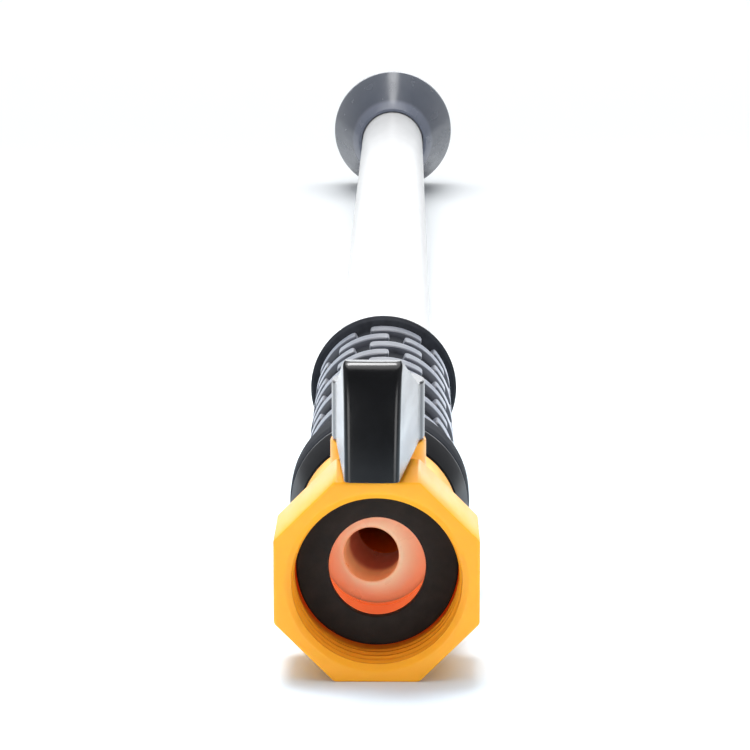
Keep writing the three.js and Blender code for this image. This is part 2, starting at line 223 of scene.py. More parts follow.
def prism(name, outline, place, depth):
    """A flat outline of 2-D points pushed along its normal: place turns (u, v, depth) into a point."""
    bm = bmesh.new()
    capped_stack(bm, [[place(u, v, end) for u, v in outline] for end in (0, depth)])
    return mesh_object(name, bm)


def join(name, objects):
    """One object of several meshes."""
    bm = bmesh.new()
    for obj in objects:
        bm.from_mesh(obj.data)
        bpy.data.objects.remove(obj)
    mesh = bpy.data.meshes.new(name)
    bm.to_mesh(mesh)
    bm.free()
    joined = bpy.data.objects.new(name, mesh)
    bpy.context.scene.collection.objects.link(joined)
    shade(joined)
    return joined


def placed(obj, body, slot, material, *nodes):
    """Puts a finished piece on its body, in place of CAD nodes, with its material."""
    obj.data.materials.clear()
    obj.data.materials.append(material)
    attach(obj, body)
    if nodes:
        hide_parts(*nodes)


# ---- materials ----
# Nearly all values of a noise texture lie between these two.
NOISE_LOW, NOISE_HIGH = 0.3, 0.7


def blank_material(name):
    material = bpy.data.materials.new(name)
    material.use_nodes = True
    nodes = material.node_tree.nodes
    return material, nodes, material.node_tree.links, nodes["Principled BSDF"]


def noise_node(nodes, links, scale, detail, roughness=0.5, stretch=(1, 1, 1)):
    """A noise in object space, stretched along the axes where stretch is under 1."""
    coordinates = nodes.new("ShaderNodeTexCoord")
    mapping = nodes.new("ShaderNodeMapping")
    mapping.inputs["Scale"].default_value = stretch
    noise = nodes.new("ShaderNodeTexNoise")
    noise.inputs["Scale"].default_value = scale
    noise.inputs["Detail"].default_value = detail
    noise.inputs["Roughness"].default_value = roughness
    links.new(coordinates.outputs["Object"], mapping.inputs["Vector"])
    links.new(mapping.outputs["Vector"], noise.inputs["Vector"])
    return noise.outputs["Fac"]


def ramp_node(nodes, links, source, low, high, start=NOISE_LOW):
    """Goes from the low colour to the high one as a noise goes from start to its usual top."""
    ramp = nodes.new("ShaderNodeValToRGB")
    first, last = ramp.color_ramp.elements
    first.position, first.color = start, (*low, 1)
    last.position, last.color = NOISE_HIGH, (*high, 1)
    links.new(source, ramp.inputs["Fac"])
    return ramp.outputs["Color"]


def share_node(nodes, links, source, low, high, to_low=0.0, to_high=1.0, easing="SMOOTHSTEP"):
    """Goes from to_low to to_high as the source goes from low to high."""
    mapped = nodes.new("ShaderNodeMapRange")
    mapped.interpolation_type = easing
    mapped.inputs["From Min"].default_value = low
    mapped.inputs["From Max"].default_value = high
    mapped.inputs["To Min"].default_value = to_low
    mapped.inputs["To Max"].default_value = to_high
    links.new(source, mapped.inputs["Value"])
    return mapped.outputs["Result"]


def range_node(nodes, links, noise, low, high):
    """Maps a noise evenly onto low to high."""
    return share_node(nodes, links, noise, NOISE_LOW, NOISE_HIGH, low, high, "LINEAR")


def math_node(nodes, links, operation, first, second):
    node = nodes.new("ShaderNodeMath")
    node.operation = operation
    links.new(first, node.inputs[0])
    links.new(second, node.inputs[1])
    return node.outputs["Value"]


def blend_node(nodes, links, share, first, second):
    """Goes from the first colour to the second as the share goes from 0 to 1."""
    mix = nodes.new("ShaderNodeMix")
    mix.data_type = "RGBA"
    links.new(share, mix.inputs["Factor"])
    for socket, color in (("A", first), ("B", second)):
        target = next(i for i in mix.inputs if i.name == socket and i.type == "RGBA")
        if isinstance(color, tuple):
            target.default_value = (*color, 1)
        else:
            links.new(color, target)
    return next(o for o in mix.outputs if o.type == "RGBA")


def position_nodes(nodes, links, location=(0, 0, 0), turn=0.0):
    """The x, y and z of a point in the object's axes, about a place and turned about the upright."""
    coordinates = nodes.new("ShaderNodeTexCoord")
    axis = nodes.new("ShaderNodeMapping")
    axis.vector_type = "TEXTURE"
    axis.inputs["Location"].default_value = location
    axis.inputs["Rotation"].default_value = (0, 0, turn)
    links.new(coordinates.outputs["Object"], axis.inputs["Vector"])
    parts = nodes.new("ShaderNodeSeparateXYZ")
    links.new(axis.outputs["Vector"], parts.inputs["Vector"])
    return parts.outputs


def bump(nodes, links, shader, source, strength, height):
    node = nodes.new("ShaderNodeBump")
    node.inputs["Strength"].default_value = strength
    node.inputs["Distance"].default_value = height
    links.new(source, node.inputs["Height"])
    links.new(node.outputs["Normal"], shader.inputs["Normal"])


def add_sheen(shader, weight):
    """The cool light that a finely textured surface picks up when it is seen edge on."""
    shader.inputs["Sheen Weight"].default_value = weight
    shader.inputs["Sheen Roughness"].default_value = 0.3
    shader.inputs["Sheen Tint"].default_value = (0.86, 0.9, 1, 1)


def moulded_plastic(name, color, mottle, roughness, grain=2600, grain_height=0.004 * MM, subsurface=0.0,
                    subsurface_radius=(1, 0.4, 0.15), specular=0.5, painted_glow=0.0, flow_marks=0.15, sheen=0.0):
    """Injection-moulded plastic: slightly cloudy colour, flow marks in its gloss and a fine skin. It can also
    give off its own colour as a painted glow.
    """
    material, nodes, links, shader = blank_material(name)
    cloud = noise_node(nodes, links, scale=90, detail=3)
    low = tuple(c * (1 - mottle) for c in color)
    high = tuple(min(1, c * (1 + mottle)) for c in color)
    links.new(ramp_node(nodes, links, cloud, low, high), shader.inputs["Base Color"])
    flow = noise_node(nodes, links, scale=240, detail=4, stretch=(1, 0.25, 1))
    gloss, dull = roughness * (1 - flow_marks), roughness * (1 + flow_marks)
    links.new(range_node(nodes, links, flow, gloss, dull), shader.inputs["Roughness"])
    skin = noise_node(nodes, links, grain, detail=2)
    bump(nodes, links, shader, skin, strength=0.35, height=grain_height)
    shader.inputs["Specular IOR Level"].default_value = specular
    shader.inputs["Subsurface Weight"].default_value = subsurface
    shader.inputs["Subsurface Radius"].default_value = subsurface_radius
    shader.inputs["Subsurface Scale"].default_value = 2.5 * MM
    # Painted glow: the surface gives off its own colour as light, though it is no lamp.
    shader.inputs["Emission Color"].default_value = (*color, 1)
    shader.inputs["Emission Strength"].default_value = painted_glow
    add_sheen(shader, sheen)
    return material


def moulded_rubber(name, color, roughness, specular=0.5, pebbles=0.012 * MM, sheen=0.0):
    """Rubber: dusty colour changes and a pebbled skin."""
    material, nodes, links, shader = blank_material(name)
    darkest, palest = 0.75, 1.35
    glossiest, dullest = 0.85, 1.2
    dust = noise_node(nodes, links, scale=320, detail=5, roughness=0.6)
    low = tuple(c * darkest for c in color)
    high = tuple(c * palest for c in color)
    links.new(ramp_node(nodes, links, dust, low, high, start=0.35), shader.inputs["Base Color"])
    gloss = range_node(nodes, links, dust, glossiest * roughness, dullest * roughness)
    links.new(gloss, shader.inputs["Roughness"])
    pebble = noise_node(nodes, links, scale=1900, detail=3, roughness=0.6)
    bump(nodes, links, shader, pebble, strength=0.4, height=pebbles)
    shader.inputs["Specular IOR Level"].default_value = specular
    add_sheen(shader, sheen)
    return material


def plated_steel(name):
    """Zinc-plated steel: brushed and slightly blotched."""
    material, nodes, links, shader = blank_material(name)
    blotch = noise_node(nodes, links, scale=500, detail=4)
    tone = ramp_node(nodes, links, blotch, low=(0.5, 0.51, 0.53), high=(0.68, 0.69, 0.7))
    links.new(tone, shader.inputs["Base Color"])
    links.new(range_node(nodes, links, blotch, low=0.2, high=0.38), shader.inputs["Roughness"])
    brushing = noise_node(nodes, links, scale=3000, detail=2, stretch=(0.1, 1, 1))
    bump(nodes, links, shader, brushing, strength=0.25, height=0.004 * MM)
    shader.inputs["Metallic"].default_value = 1.0
    return material


def ball_plastic(name, face_color, painted_bounce_color, painted_shade_color):
    """Pale plastic with a painted glow. Its bore is painted with the warm bounce light of the valve's inside,
    and with painted shade that deepens with depth.
    """
    material = moulded_plastic(name, face_color, mottle=0.02, roughness=0.3, subsurface=0.3,
                               subsurface_radius=(1, 0.5, 0.35), painted_glow=0.085)
    nodes, links = material.node_tree.nodes, material.node_tree.links
    place = position_nodes(nodes, links, (STEM.x, STEM.y, AXIS_Z), BALL_TURN)
    flat = nodes.new("ShaderNodeCombineXYZ")
    links.new(place["X"], flat.inputs["X"])
    links.new(place["Z"], flat.inputs["Z"])
    length = nodes.new("ShaderNodeVectorMath")
    length.operation = "LENGTH"
    links.new(flat.outputs["Vector"], length.inputs[0])
    bore_edge, face_edge = BALL_BORE - 0.1 * MM, BALL_BORE + 0.5 * MM
    outside = share_node(nodes, links, length.outputs["Value"], bore_edge, face_edge)
    # Painted shade: the bore's painted bounce light darkens towards the middle of the ball.
    shallow, deep = -4.2 * MM, -0.5 * MM
    depth = share_node(nodes, links, place["Y"], shallow, deep)
    shader = nodes["Principled BSDF"]
    base = shader.inputs["Base Color"]
    # Painted light in the bore: warm bounce light going over into painted shade.
    painted_bore_light = blend_node(nodes, links, depth, painted_bounce_color, painted_shade_color)
    color = blend_node(nodes, links, outside, painted_bore_light, base.links[0].from_socket)
    links.new(color, base)
    # The same colour is also given off as a painted glow.
    links.new(color, shader.inputs["Emission Color"])
    return material


def head_plastic(name, color, painted_highlight_neck_color):
    """Glossy plastic with a painted highlight: paler round the neck."""
    material = moulded_plastic(name, color, mottle=0.03, roughness=0.25, specular=0.14)
    nodes, links = material.node_tree.nodes, material.node_tree.links
    neck = span("head_shell")[0]
    highlight_full_to, highlight_gone_from = neck + 4.5 * MM, neck + 8.5 * MM
    along = position_nodes(nodes, links)["Y"]
    # Painted highlight: the base colour goes from the pale neck colour to the head's own colour along the
    # wand.
    past_painted_highlight = share_node(nodes, links, along, highlight_full_to, highlight_gone_from)
    base = nodes["Principled BSDF"].inputs["Base Color"]
    links.new(blend_node(nodes, links, past_painted_highlight, painted_highlight_neck_color, base.links[0].from_socket), base)
    return material


yellow = moulded_plastic("yellow_plastic", (0.97, 0.4, 0.022), mottle=0.03, roughness=0.34,
                         subsurface=0.25, subsurface_radius=(1, 0.45, 0.1), specular=0.28)
# The orange plastic has a painted glow that stands in for light inside the valve.
orange = moulded_plastic("orange_plastic", (1.0, 0.235, 0.06), mottle=0.04, roughness=0.3,
                         subsurface=0.25, painted_glow=0.19)
# The ball's bore colours are painted bounce light and painted shade.
acetal = ball_plastic("ball_acetal", face_color=(0.9, 0.81, 0.55), painted_bounce_color=(1.0, 0.54, 0.25),
                      painted_shade_color=(0.5, 0.09, 0.04))
gloss_black = moulded_plastic("lever_gloss_black", (0.004, 0.004, 0.0045), mottle=0.1, roughness=0.22,
                              grain=1400, grain_height=0.001 * MM, specular=0.42, sheen=0.12)
satin_black = moulded_plastic("collar_black", (0.006, 0.006, 0.007), mottle=0.1, roughness=0.35,
                              specular=0.07)
# The paler neck colour is a painted highlight.
head_grey = head_plastic("head_grey", color=(0.075, 0.086, 0.112), painted_highlight_neck_color=(0.15, 0.165, 0.21))
white_gloss = moulded_plastic("white_tube", (0.655, 0.655, 0.655), mottle=0.008, roughness=0.24,
                              subsurface=0.1, subsurface_radius=(1, 1, 1), specular=0.03, flow_marks=0.04)
pale = moulded_plastic("pale_polymer", (0.86, 0.83, 0.76), mottle=0.02, roughness=0.4)
grip_rubber = moulded_rubber("grip_rubber", (0.045, 0.049, 0.066), roughness=0.4, specular=0.6,
                             pebbles=0.002 * MM, sheen=0.6)
matt_rubber = moulded_rubber("grip_rubber_matt", (0.02, 0.0215, 0.026), roughness=0.6, specular=0.03)
seal_rubber = moulded_rubber("seal_rubber", (0.021, 0.018, 0.0155), roughness=0.7, specular=0.15)
steel = plated_steel("screw_steel")


# ---- hose end ----
def octagon_points(half_flats, corner, along, flat_steps=10, corner_steps=5):
    """A ring in the shape of an octagon with rounded corners and a flat side facing down."""
    points = []
    eighth = math.pi / 4
    half_side = (half_flats - corner) * math.tan(eighth / 2)
    for k in range(8):
        middle = k * eighth
        out = Vector((math.sin(middle), math.cos(middle)))
        across = Vector((math.cos(middle), -math.sin(middle)))
        for step in range(flat_steps):
            shift = half_side * (2 * step / flat_steps - 1)
            points.append(out * half_flats + across * shift)
        centre = out * (half_flats - corner) + across * half_side
        for step in range(corner_steps):
            angle = middle + eighth * step / corner_steps
            points.append(centre + corner * Vector((math.sin(angle), math.cos(angle))))
    return [Vector((p.x, along, AXIS_Z + p.y)) for p in points]


def ring_at_angles_of(points, radius_of, along):
    """A round ring with its points at the same angles as those of another ring."""
    angles = [math.atan2(point.x, point.z - AXIS_Z) for point in points]
    return [from_axis(radius_of(angle), angle, along) for angle in angles]


def hose_thread_radius(angle, along, crest, root, pitch, first, last):
    """The nut's inner radius: a rounded helical ridge that fades out at both ends."""
    foot, flank = 0.46, 0.38
    lead_in, fade_in, fade_out = 0.8 * pitch, 0.6 * pitch, 0.4 * pitch
    turns = (along - first) / pitch - angle / (2 * math.pi)
    offset = abs(turns - round(turns))
    ridge = clamp((foot - offset) / flank)
    ridge = ridge * ridge * (3 - 2 * ridge)
    height = ridge * clamp((along - first + lead_in) / fade_in) * clamp((last - along) / fade_out)
    return root - (root - crest) * height


def coupling_nut():
    """The octagonal swivel nut, with eased edges and a helical hose thread inside its mouth."""
    front, rear = span("coupling_nut")
    half_flats = reach("coupling_nut")
    corner = 0.9 * MM
    wall_front = rear - 2.1 * MM
    hole = reach("inlet_tailpiece") - 1.7 * MM
    crest, root, mouth = 12.9 * MM, 13.3 * MM, 14.3 * MM
    pitch = 2.2 * MM
    first_crest, last_ridge = front + 2.8 * MM, front + 8.6 * MM

    def octagon(inset, along):
        return octagon_points(half_flats - inset, corner, along)

    full_size = octagon(0, front)

    def circle(radius, along):
        return ring_at_angles_of(full_size, lambda angle: radius, along)

    rings = [
        octagon(0.40 * MM, front),
        octagon(0.22 * MM, front + 0.03 * MM),
        octagon(0.07 * MM, front + 0.14 * MM),
        octagon(0, front + 0.36 * MM),
        octagon(0, rear - 0.6 * MM),
        octagon(0.10 * MM, rear - 0.28 * MM),
        octagon(0.30 * MM, rear - 0.08 * MM),
        octagon(0.60 * MM, rear),
        circle(hole + 0.4 * MM, rear),
        circle(hole + 0.1 * MM, rear - 0.1 * MM),
        circle(hole, rear - 0.4 * MM),
        circle(hole, wall_front),
        circle(root - 0.3 * MM, wall_front),
        circle(root, wall_front - 0.3 * MM),
    ]
    thread_rings = 60
    thread_start, thread_end = front + 0.75 * MM, front + 9.2 * MM
    for i in range(thread_rings + 1):
        along = thread_end + (thread_start - thread_end) * i / thread_rings

        def thread_radius(angle):
            return hose_thread_radius(angle, along, crest, root, pitch, first_crest, last_ridge)

        rings.append(ring_at_angles_of(full_size, thread_radius, along))
    rings.append(circle(mouth - 0.35 * MM, front + 0.25 * MM))
    rings.append(circle(mouth - 0.12 * MM, front + 0.08 * MM))
    rings.append(circle(mouth + 0.08 * MM, front))
    bm = bmesh.new()
    stack_rings(bm, rings)
    return mesh_object("coupling_nut_skin", bm)


def hose_washer():
    """A flat washer whose hole has been pressed slightly oval."""
    front, rear = span("hose_washer")
    outer = reach("hose_washer")
    hole, pressed_part = 7.68 * MM, 1 * MM
    pressed_taller = 1.05
    washer = turned("hose_washer_skin", [
        (hole, front, 0.3 * MM),
        (outer, front, 0.6 * MM),
        (outer, rear, 0.3 * MM),
        (hole, rear, 0.3 * MM),
    ])
    for vertex in washer.data.vertices:
        height = vertex.co.z - AXIS_Z
        if math.hypot(vertex.co.x, height) < hole + pressed_part:
            vertex.co.z = AXIS_Z + pressed_taller * height
    return washer


def inlet_tailpiece():
    """The flanged tube that the nut turns on and the washer seals against."""
    front, rear = span("inlet_tailpiece")
    flange = reach("inlet_tailpiece")
    neck = flange - 2.0 * MM
    flange_rear = front + 3.0 * MM
    return turned("inlet_tailpiece_skin", [
        (TAIL_BORE, front, 0.3 * MM),
        (flange, front, 0.2 * MM),
        (flange, flange_rear, 0.2 * MM),
        (neck, flange_rear, 0.2 * MM),
        (neck, rear, 0.2 * MM),
        (TAIL_BORE, rear, 0.2 * MM),
    ])


def ball_seat(name, faces_rear):
    """A seat ring, hollowed to the ball's curve on the side that faces the ball."""
    start, end = span(name)
    outer = reach(name)
    far, near = (start, end) if faces_rear else (end, start)
    middle = TAIL_BORE + 0.15 * MM
    lip = 9.45 * MM
    bend_share = 0.6
    bend = far + (near - far) * bend_share
    return turned(name + "_skin", [
        (TAIL_BORE, far, 0.2 * MM),
        (outer, far, 0.2 * MM),
        (outer, near, 0.2 * MM),
        (lip, near, 0.1 * MM),
        (middle, bend, 1.5 * MM),
    ])


# ---- valve ----
def valve_ball():
    """A drilled ball. Its bore is turned with the stem, less the play in the stem's slot."""
    radius = reach("valve_ball")
    rim = 0.45 * MM
    mouth = math.sqrt(radius ** 2 - BALL_BORE ** 2)
    start = math.asin((BALL_BORE + rim) / radius)
    steps = 48
    rounded_mouth = [
        (BALL_BORE, 0.55 * radius),
        (BALL_BORE, mouth - 1.1 * rim),
        (BALL_BORE + 0.25 * rim, mouth - 0.35 * rim),
    ]
    outline = [(out, -along) for out, along in rounded_mouth]
    for i in range(steps + 1):
        angle = start + (math.pi - 2 * start) * i / steps
        outline.append((radius * math.sin(angle), -radius * math.cos(angle)))
    outline += reversed(rounded_mouth)
    bm = bmesh.new()
    stack_rings(bm, [around(out, along) for out, along in outline])
    to_middle = Matrix.Translation((0, 0, -AXIS_Z))
    to_place = Matrix.Translation((STEM.x, STEM.y, AXIS_Z))
    bm.transform(to_place @ Matrix.Rotation(BALL_TURN, 4, "Z") @ to_middle)
    ball = mesh_object("valve_ball_skin", bm)
    slot_floor, slot_height = AXIS_Z + 7.5 * MM, 4.5 * MM
    slot = rectangle(12 * MM, 2.1 * MM)
    base = Vector((STEM.x, STEM.y, slot_floor))
    turned_axes = Matrix.Rotation(BALL_TURN, 3, "Z")

    def place(u, v, depth):
        return base + turned_axes @ Vector((u, v, depth))

    cut_away(ball, prism("ball_slot", slot, place, slot_height))
    shade(ball)
    return ball


def valve_boss():
    """The upright boss for the stem, running out into the barrel in a fillet."""
    boss, hole = 7.75 * MM, 4.6 * MM
    fillet, fillet_steps = 1.0 * MM, 6
    edge, edge_bend = 0.35 * MM, 0.1 * MM
    sunk = BARREL - 1.2 * MM
    overlap = 0.02 * MM
    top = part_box("valve_body")[1].z
    sides = 96

    def on_barrel(x, shell):
        return AXIS_Z + math.sqrt(max(shell ** 2 - x ** 2, 0))

    def ring(radius, height_of):
        points = []
        for i in range(sides):
            angle = 2 * math.pi * i / sides
            x, y = radius * math.cos(angle), radius * math.sin(angle)
            points.append(Vector((STEM.x + x, STEM.y + y, height_of(x))))
        return points

    rings = [ring(radius, lambda x: on_barrel(x, sunk)) for radius in (hole, boss + fillet)]
    for step in range(fillet_steps + 1):
        t = math.pi / 2 * step / fillet_steps
        radius = boss + fillet * (1 - math.sin(t))
        lift = fillet * (1 - math.cos(t)) - overlap
        rings.append(ring(radius, lambda x: on_barrel(x, BARREL) + lift))
    rings.append(ring(boss, lambda x: top - edge))
    rings.append(ring(boss - edge_bend, lambda x: top - edge_bend))
    rings.append(ring(boss - edge, lambda x: top))
    rings.append(ring(hole + edge, lambda x: top))
    rings.append(ring(hole, lambda x: top - edge))
    bm = bmesh.new()
    stack_rings(bm, rings)
    return mesh_object("valve_boss_part", bm)


def valve_body():
    """The barrel with its ball chamber and its grooved spigot, and the boss for the stem."""
    front, rear = span("valve_body")
    barrel_rear = span("grip_collar")[0] - CLEARANCE
    chamber = reach("ball_seat_front") + CLEARANCE
    chamber_end = span("ball_seat_rear")[1] + CLEARANCE
    spigot, groove_floor, outlet = 8.4 * MM, 7.3 * MM, 5.6 * MM
    corners = [
        (chamber, front, 0.3 * MM),
        (BARREL, front, 0.7 * MM),
        (BARREL, barrel_rear, 0.7 * MM),
        (spigot, barrel_rear, 0.2 * MM),
    ]
    for seal in ("spigot_o_ring_1", "spigot_o_ring_2"):
        corners += seal_groove(seal, spigot, groove_floor)
    corners += [
        (spigot, rear, 0.4 * MM),
        (outlet, rear, 0.3 * MM),
        (outlet, chamber_end + 3 * MM, 0.5 * MM),
        (outlet + 2 * MM, chamber_end, 0.3 * MM),
        (chamber, chamber_end, 0.3 * MM),
    ]
    return join("valve_body_skin", [turned("valve_barrel_part", corners), valve_boss()])


def curve(start, control, end, steps):
    """Points of a curve that leaves start and meets end along the lines to control."""
    points = []
    for i in range(steps + 1):
        t = i / steps
        from_start, from_control, from_end = (1 - t) ** 2, 2 * t * (1 - t), t ** 2
        points.append(tuple(from_start * a + from_control * b + from_end * c
                            for a, b, c in zip(start, control, end)))
    return points


def look_up(points, height):
    """Where a curve of (along, height) points, rising in height, is at a height."""
    for (along, low), (following, high) in zip(points, points[1:]):
        if low <= height <= high:
            return along + (following - along) * (height - low) / max(high - low, 1e-9)
    return points[-1][0] if height > points[-1][1] else points[0][0]


def valve_lever():
    """A round hub and a tapering thumb blade that rises to its tip. Millimetres, about the stem.

    It is a stack of level outlines. Each starts at the middle of the face, goes round the face's rounded
    corner and along the blade's side, and ends round the hub or, above the hub, across the ramp.
    """
    hub, hub_edge = 7.5, 0.35
    tip_reach, tip_half, root_half = 33.0, 4.1, 7.05
    underside, hub_top, tip_top = 17.5, 26.9, 35.25
    lean, top_round, hollow = 3.3, 3.4, 1.0
    face_corner, ramp_corner, crown, foot_edge = 1.05, 0.45, 0.22, 0.12
    socket_half, socket_top = 2.8, 23.5
    face_steps, face_corner_steps, side_steps = 5, 8, 24
    end_steps, ramp_corner_steps = 24, 6
    ramp_steps = end_steps - ramp_corner_steps
    base = Vector((STEM.x, STEM.y, AXIS_Z))
    turned_axes = Matrix.Rotation(LEVER_TURN, 3, "Z")

    slope = (root_half - tip_half) / tip_reach
    a = 1 + slope ** 2
    b = 2 * slope * root_half
    c = root_half ** 2 - hub ** 2
    meet = (-b - math.sqrt(b * b - 4 * a * c)) / (2 * a)

    tip_top_at = -tip_reach + lean
    crest = (tip_top_at + 2.1, tip_top)
    ramp_crest = (tip_top_at + 2.35, tip_top)
    face_foot = (-tip_reach, underside)
    face_middle = (-tip_reach + hollow, (underside + tip_top) / 2)
    round_start = (tip_top_at - 0.6, tip_top - top_round)
    round_control = (tip_top_at + 0.45, tip_top - 0.1)
    ramp_foot, foot_control = (meet, hub_top), (meet - 1.6, hub_top + 0.15)
    ramp_start, ramp_control = (meet - 3.2, hub_top + 0.8), (-18, 31.75)
    face = curve(face_foot, face_middle, round_start, 20) + curve(round_start, round_control, crest, 12)[1:]
    ramp = curve(ramp_foot, foot_control, ramp_start, 6) + curve(ramp_start, ramp_control, ramp_crest, 20)[1:]

    def half_width(along):
        return root_half + slope * along

    def hub_end(inset):
        """The right half of the hub's round end."""
        first = math.atan2(meet, half_width(meet))
        points = []
        for i in range(1, end_steps + 1):
            angle = first + (math.pi / 2 - first) * i / end_steps
            points.append(((hub - inset) * math.cos(angle), (hub - inset) * math.sin(angle)))
        return points

    def ramp_end(last_half, back, fillet):
        """The right half of the ramp's straight end, with its rounded corner."""
        points = []
        for i in range(1, ramp_corner_steps + 1):
            angle = math.pi / 2 * i / ramp_corner_steps
            x = last_half - fillet * (1 - math.cos(angle))
            points.append((x, back - fillet * (1 - math.sin(angle))))
        points += [((last_half - fillet) * (1 - i / ramp_steps), back) for i in range(1, ramp_steps + 1)]
        return points

    def outline(height, inset, hub_inset, over_hub):
        """The right half of a level outline, from the middle of the face to the middle of the back."""
        front = look_up(face, height) + inset
        top_edge, narrowing, shortest = 0.9, 0.45, 0.02
        side_inset = inset + narrowing * max(0.0, height - (tip_top - top_edge)) ** 2
        corner_along = front + crown + face_corner
        edge_half = half_width(corner_along) - side_inset
        flat_half = edge_half - face_corner
        points = []
        for i in range(face_steps + 1):
            x = flat_half * i / face_steps
            points.append((x, front + crown * (x / edge_half) ** 2))
        corner_front = points[-1][1]
        for i in range(1, face_corner_steps + 1):
            angle = math.pi / 2 * i / face_corner_steps
            x = flat_half + face_corner * math.sin(angle)
            points.append((x, corner_front + face_corner * (1 - math.cos(angle))))
        back = max(look_up(ramp, height) if over_hub else meet, corner_along + shortest)
        fillet = min(ramp_corner, (back - corner_along) / 2) if over_hub else 0.0
        start = points[-1][1]
        for i in range(1, side_steps + 1):
            y = start + (back - fillet - start) * i / side_steps
            points.append((half_width(y) - side_inset, y))
        if over_hub:
            return points + ramp_end(points[-1][0], back, fillet)
        return points + hub_end(inset + hub_inset)

    side_foot, side_top = underside + foot_edge, hub_top - hub_edge
    wall_levels, edge_levels, crest_levels = 10, 4, 12
    levels = [(underside, foot_edge, 0, False), (underside + 0.08, 0.1, 0, False)]
    levels += [(side_foot + (side_top - side_foot) * i / wall_levels, 0, 0, False)
               for i in range(wall_levels + 1)]
    for i in range(1, edge_levels + 1):
        angle = math.pi / 2 * i / edge_levels
        levels.append((side_top + hub_edge * math.sin(angle), 0, hub_edge * (1 - math.cos(angle)), False))
    ramp_rises = [0, 0.03, 0.1, 0.25, 0.45, 0.7] + [1.0 + 0.6 * i for i in range(11)]
    levels += [(hub_top + rise, 0, 0, True) for rise in ramp_rises]
    rest, crowding = tip_top - levels[-1][0], 1.6
    levels += [(tip_top - rest * (1 - i / crest_levels) ** crowding, 0, 0, True)
               for i in range(1, crest_levels + 1)]

    rings = []
    for height, inset, hub_inset, over_hub in levels:
        right = outline(height, inset, hub_inset, over_hub)
        left = [(-x, y) for x, y in reversed(right[1:-1])]
        rings.append([base + turned_axes @ (Vector((x, y, height)) * MM) for x, y in right + left])
    bm = bmesh.new()
    capped_stack(bm, rings)
    lever = mesh_object("valve_lever_skin", bm)

    def place_socket(u, v, depth):
        return base + turned_axes @ (Vector((u, v, depth)) * MM)

    cut_away(lever, prism("lever_socket", rectangle(socket_half, socket_half), place_socket, socket_top))
    weigh_normals(lever)
    return lever


# ---- grip ----
def grip_collar():
    """The cone between the body and the grip."""
    front, rear = span("grip_collar")
    front_radius, rear_radius = 13.45 * MM, 15.1 * MM
    return turned("grip_collar_skin", [
        (TUBE_HOLE, front, 0.3 * MM),
        (front_radius, front, 0.5 * MM),
        (rear_radius, rear - 0.9 * MM, 0.8 * MM),
        (rear_radius, rear, 0.15 * MM),
        (TUBE_HOLE, rear, 0.2 * MM),
    ])


def rounded_rectangle(half_u, half_v, corner, long_steps=9, corner_steps=4):
    """A ring of 2-D points: the long sides lie along u and are stepped, so that they can be bent."""
    points = []
    least = 0.001 * MM
    corner = max(min(corner, half_u, half_v), least)
    inner_u, inner_v = half_u - corner, half_v - corner
    for quarter, (sign_u, sign_v) in enumerate(((1, 1), (-1, 1), (-1, -1), (1, -1))):
        for step in range(corner_steps + 1):
            angle = math.pi / 2 * (quarter + step / corner_steps)
            points.append((sign_u * inner_u + corner * math.cos(angle),
                           sign_v * inner_v + corner * math.sin(angle)))
        if quarter in (0, 2):
            for step in range(1, long_steps):
                points.append((sign_u * inner_u * (1 - 2 * step / long_steps),
                               sign_v * (inner_v + corner)))
    return points


def tread_block(bm, middle_angle, middle_along, half_angle, half_length, root, top):
    """One raised block of the tread, bent round the sleeve, with rounded corners and edges."""
    half_arc = half_angle * top
    corner, edge, sunk, thinnest = 0.9 * MM, 0.35 * MM, 0.3 * MM, 0.05 * MM
    levels = [(0, root - sunk), (0.05 * MM, top - edge), (0.15 * MM, top - 0.12 * MM), (edge, top)]
    levels += [(0.45 * half_length, top), (0.75 * half_length, top), (half_length - thinnest, top)]
    rings = []
    for inset, radius in levels:
        outline = rounded_rectangle(half_arc - inset, half_length - inset, corner - inset)
        rings.append([from_axis(radius, middle_angle + u / top, middle_along + v) for u, v in outline])
    capped_stack(bm, rings)


def grip_sleeve():
    """The sleeve with its two flanges, and the staggered rows of tread blocks between them."""
    front, rear = span("grip_sleeve")
    flange_rear = front + 9.5 * MM
    flange, rear_flange = 15.4 * MM, 14.75 * MM
    root, top = 12.2 * MM, 13.4 * MM
    last_rib_end = rear - 4.4 * MM
    sleeve = turned("grip_sleeve_skin", [
        (TUBE_HOLE, front, 0.2 * MM),
        (flange - 0.25 * MM, front, 0.6 * MM),
        (flange, front + 3 * MM, 2 * MM),
        (flange, flange_rear, 1.0 * MM),
        (root, flange_rear, 0.5 * MM),
        (root, last_rib_end + 0.6 * MM, 0.6 * MM),
        (rear_flange - 0.5 * MM, last_rib_end + 1.7 * MM, 0.6 * MM),
        (rear_flange, rear - 1.6 * MM, 0.8 * MM),
        (rear_flange, rear, 0.8 * MM),
        (TUBE_HOLE, rear, 0.3 * MM),
    ])
    rows, columns = 11, 6
    pitch, length, first_gap = 8.0 * MM, 5.2 * MM, 1.5 * MM
    block_angle, first_angle = math.radians(47), math.radians(12)
    column_angle = 2 * math.pi / columns
    bm = bmesh.new()
    for row in range(rows):
        end = last_rib_end - row * pitch
        start = max(end - length, flange_rear + first_gap)
        stagger = column_angle / 2 * (row % 2)
        for column in range(columns):
            angle = first_angle - stagger + column_angle * column
            tread_block(bm, angle, (start + end) / 2, block_angle / 2, (end - start) / 2, root, top)
    return sleeve, mesh_object("grip_tread_skin", bm)


def extension_tube():
    """A plain tube."""
    front, rear = span("extension_tube")
    outer = (tube_high.z - tube_low.z) / 2 / math.cos(math.pi / CAD_SIDES)
    wall = 1.2 * MM
    inner = outer - wall
    return turned("extension_tube_skin", [
        (inner, front, 0.2 * MM),
        (outer, front, 0.3 * MM),
        (outer, rear, 0.3 * MM),
        (inner, rear, 0.2 * MM),
    ], sides=160)


